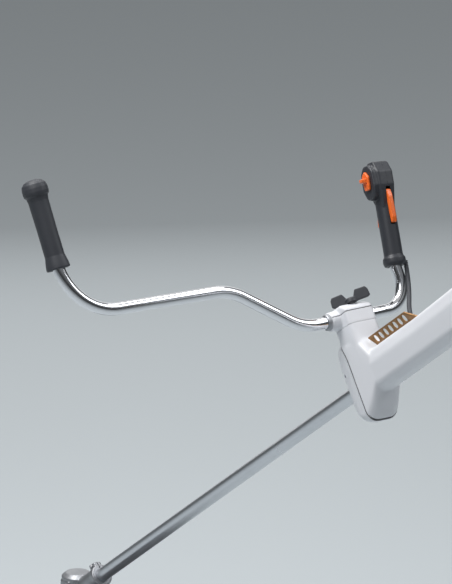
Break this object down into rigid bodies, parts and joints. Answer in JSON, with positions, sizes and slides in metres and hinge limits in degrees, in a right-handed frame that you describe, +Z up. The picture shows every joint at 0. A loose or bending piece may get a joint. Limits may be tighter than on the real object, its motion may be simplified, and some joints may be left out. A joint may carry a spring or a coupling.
{
  "type": "string trimmer",
  "caption": "Petrol string trimmer with a bent handlebar, perforated harness rail, straight drive tube, rear engine and guarded line head, in its working attitude.",
  "frame": {"origin": "left face of the harness rail, on the web between its fourth and fifth holes, where a harness hook carries the machine", "axes": "+X towards the cutting head, +Y to the user's left, +Z up with the cutting plane level and the drive tube pitched 35 degrees nose down"},
  "size_m": [1.5729, 0.8091, 1.2325],
  "materials": {
    "casing": "satin light grey",
    "rubber": "matt",
    "handle": "fine textured",
    "orange": "satin",
    "chrome": "polished",
    "steel": "plain",
    "alloy": "satin drawn",
    "cast": "die cast",
    "rail": "yellow passivated",
    "tank": "translucent",
    "line": "smooth",
    "bronze": "sintered"
  },
  "bodies": {
    "machine": {"shaft_tube": "alloy", "shaft_bush_rear": "bronze", "shaft_bush_front": "bronze", "main_housing": "casing", "front_cover": "casing", "cover_screw_left": "steel", "cover_screw_right": "steel", "harness_rail": "rail", "rail_screw_front": "steel", "rail_screw_rear": "steel", "cable_grommet": "rubber", "cable_sleeve_lower": "rubber", "clutch_housing": "cast", "crankcase": "cast", "cylinder": "cast", "spark_plug": "rubber", "engine_shroud": "casing", "muffler": "steel", "carburettor": "cast", "air_filter_cover": "handle", "fuel_tank": "tank", "starter_cover": "handle", "gear_head": "cast", "pinion_bearing": "steel", "output_bearing": "steel", "guard": "handle", "guard_screw_1": "steel", "guard_screw_2": "steel", "line_cutter": "steel"},
    "clamp": {"clamp_saddle": "casing", "clamp_cap": "casing", "clamp_stud": "steel"},
    "wing_screw": {"wing_screw": "handle"},
    "handlebar": {"handlebar": "chrome", "left_grip": "rubber", "control_handle_left": "handle", "control_handle_right": "handle", "handle_screw": "steel", "trigger_pin": "steel", "lockout_pin": "steel", "cable_sleeve_upper": "rubber"},
    "throttle_trigger": {"throttle_trigger": "orange"},
    "throttle_lockout": {"throttle_lockout": "orange"},
    "stop_slider": {"stop_slider": "orange"},
    "drive_shaft": {"drive_shaft": "steel", "clutch_drum": "cast", "bevel_pinion": "steel"},
    "line_head": {"bevel_gear": "steel", "output_shaft": "steel", "line_head": "handle", "line_head_cover": "handle", "cutting_line_a": "line", "cutting_line_b": "line"},
    "tap_button": {"line_spool": "orange", "tap_button": "handle"},
    "crankshaft": {"crankshaft": "steel", "flywheel": "cast"},
    "fuel_cap": {"fuel_cap": "handle"},
    "choke_lever": {"choke_lever": "orange"},
    "starter_grip": {"starter_grip": "handle"}
  },
  "joints": [
    {"name": "handlebar_swivel", "type": "hinge", "parent": "machine", "child": "clamp", "pos_m": [0.10666, -0.00592, -0.02211], "axis": [0.5736, 0, 0.8192], "range_deg": [-90, 0], "deforming": ["cable_sleeve_lower"]},
    {"name": "handlebar_tilt", "type": "hinge", "parent": "clamp", "child": "handlebar", "pos_m": [0.13476, -0.00592, -0.01859], "axis": [0, 1, 0], "range_deg": [-12, 12], "deforming": ["cable_sleeve_upper"]},
    {"name": "wing_screw_turn", "type": "hinge", "parent": "clamp", "child": "wing_screw", "pos_m": [0.13476, -0.00592, 0.01803], "axis": [0.5736, 0, 0.8192], "range_deg": [0, 720]},
    {"name": "throttle_trigger_pull", "type": "hinge", "parent": "handlebar", "child": "throttle_trigger", "pos_m": [0.21891, -0.13807, 0.14232], "axis": [0.0439, 0.9947, 0.0925], "range_deg": [0, 16], "stiffness_Nm_per_rad": 0.5, "springref_deg": -5.73},
    {"name": "throttle_lockout_press", "type": "hinge", "parent": "handlebar", "child": "throttle_lockout", "pos_m": [0.2147, -0.14053, 0.17075], "axis": [-0.0439, -0.9947, -0.0925], "range_deg": [0, 7], "stiffness_Nm_per_rad": 0.5, "springref_deg": -5.73},
    {"name": "stop_slider_slide", "type": "slide", "parent": "handlebar", "child": "stop_slider", "axis": [0.4267, -0.1024, 0.8986], "range_m": [-0.008, 0.008]},
    {"name": "drive_shaft_spin", "type": "hinge", "parent": "machine", "child": "drive_shaft", "pos_m": [0.06593, -0.00592, -0.11689], "axis": [0.8192, 0, -0.5736], "continuous": true},
    {"name": "line_head_spin", "type": "hinge", "parent": "machine", "child": "line_head", "pos_m": [0.98174, -0.00592, -0.75815], "axis": [0, 0, 1], "continuous": true},
    {"name": "tap_button_press", "type": "slide", "parent": "line_head", "child": "tap_button", "axis": [0, 0, 1], "range_m": [0, 0.004], "stiffness_N_per_m": 2000, "springref_m": -0.003},
    {"name": "crankshaft_spin", "type": "hinge", "parent": "machine", "child": "crankshaft", "pos_m": [-0.3928, -0.00592, 0.20431], "axis": [0.8192, 0, -0.5736], "continuous": true},
    {"name": "fuel_cap_turn", "type": "hinge", "parent": "machine", "child": "fuel_cap", "pos_m": [-0.44851, 0.06908, 0.14567], "axis": [0, 1, 0], "continuous": true},
    {"name": "choke_lever_turn", "type": "hinge", "parent": "machine", "child": "choke_lever", "pos_m": [-0.3451, 0.09008, 0.31253], "axis": [0.5736, 0, 0.8192], "range_deg": [-35, 35]},
    {"name": "starter_pull", "type": "slide", "parent": "machine", "child": "starter_grip", "axis": [0.4973, 0.4983, 0.7102], "range_m": [0, 0.6], "stiffness_N_per_m": 5, "springref_m": -0.3}
  ],
  "couplings": [
    {"joint": "line_head_spin", "follows": "drive_shaft_spin", "ratio": 0.59629}
  ]
}
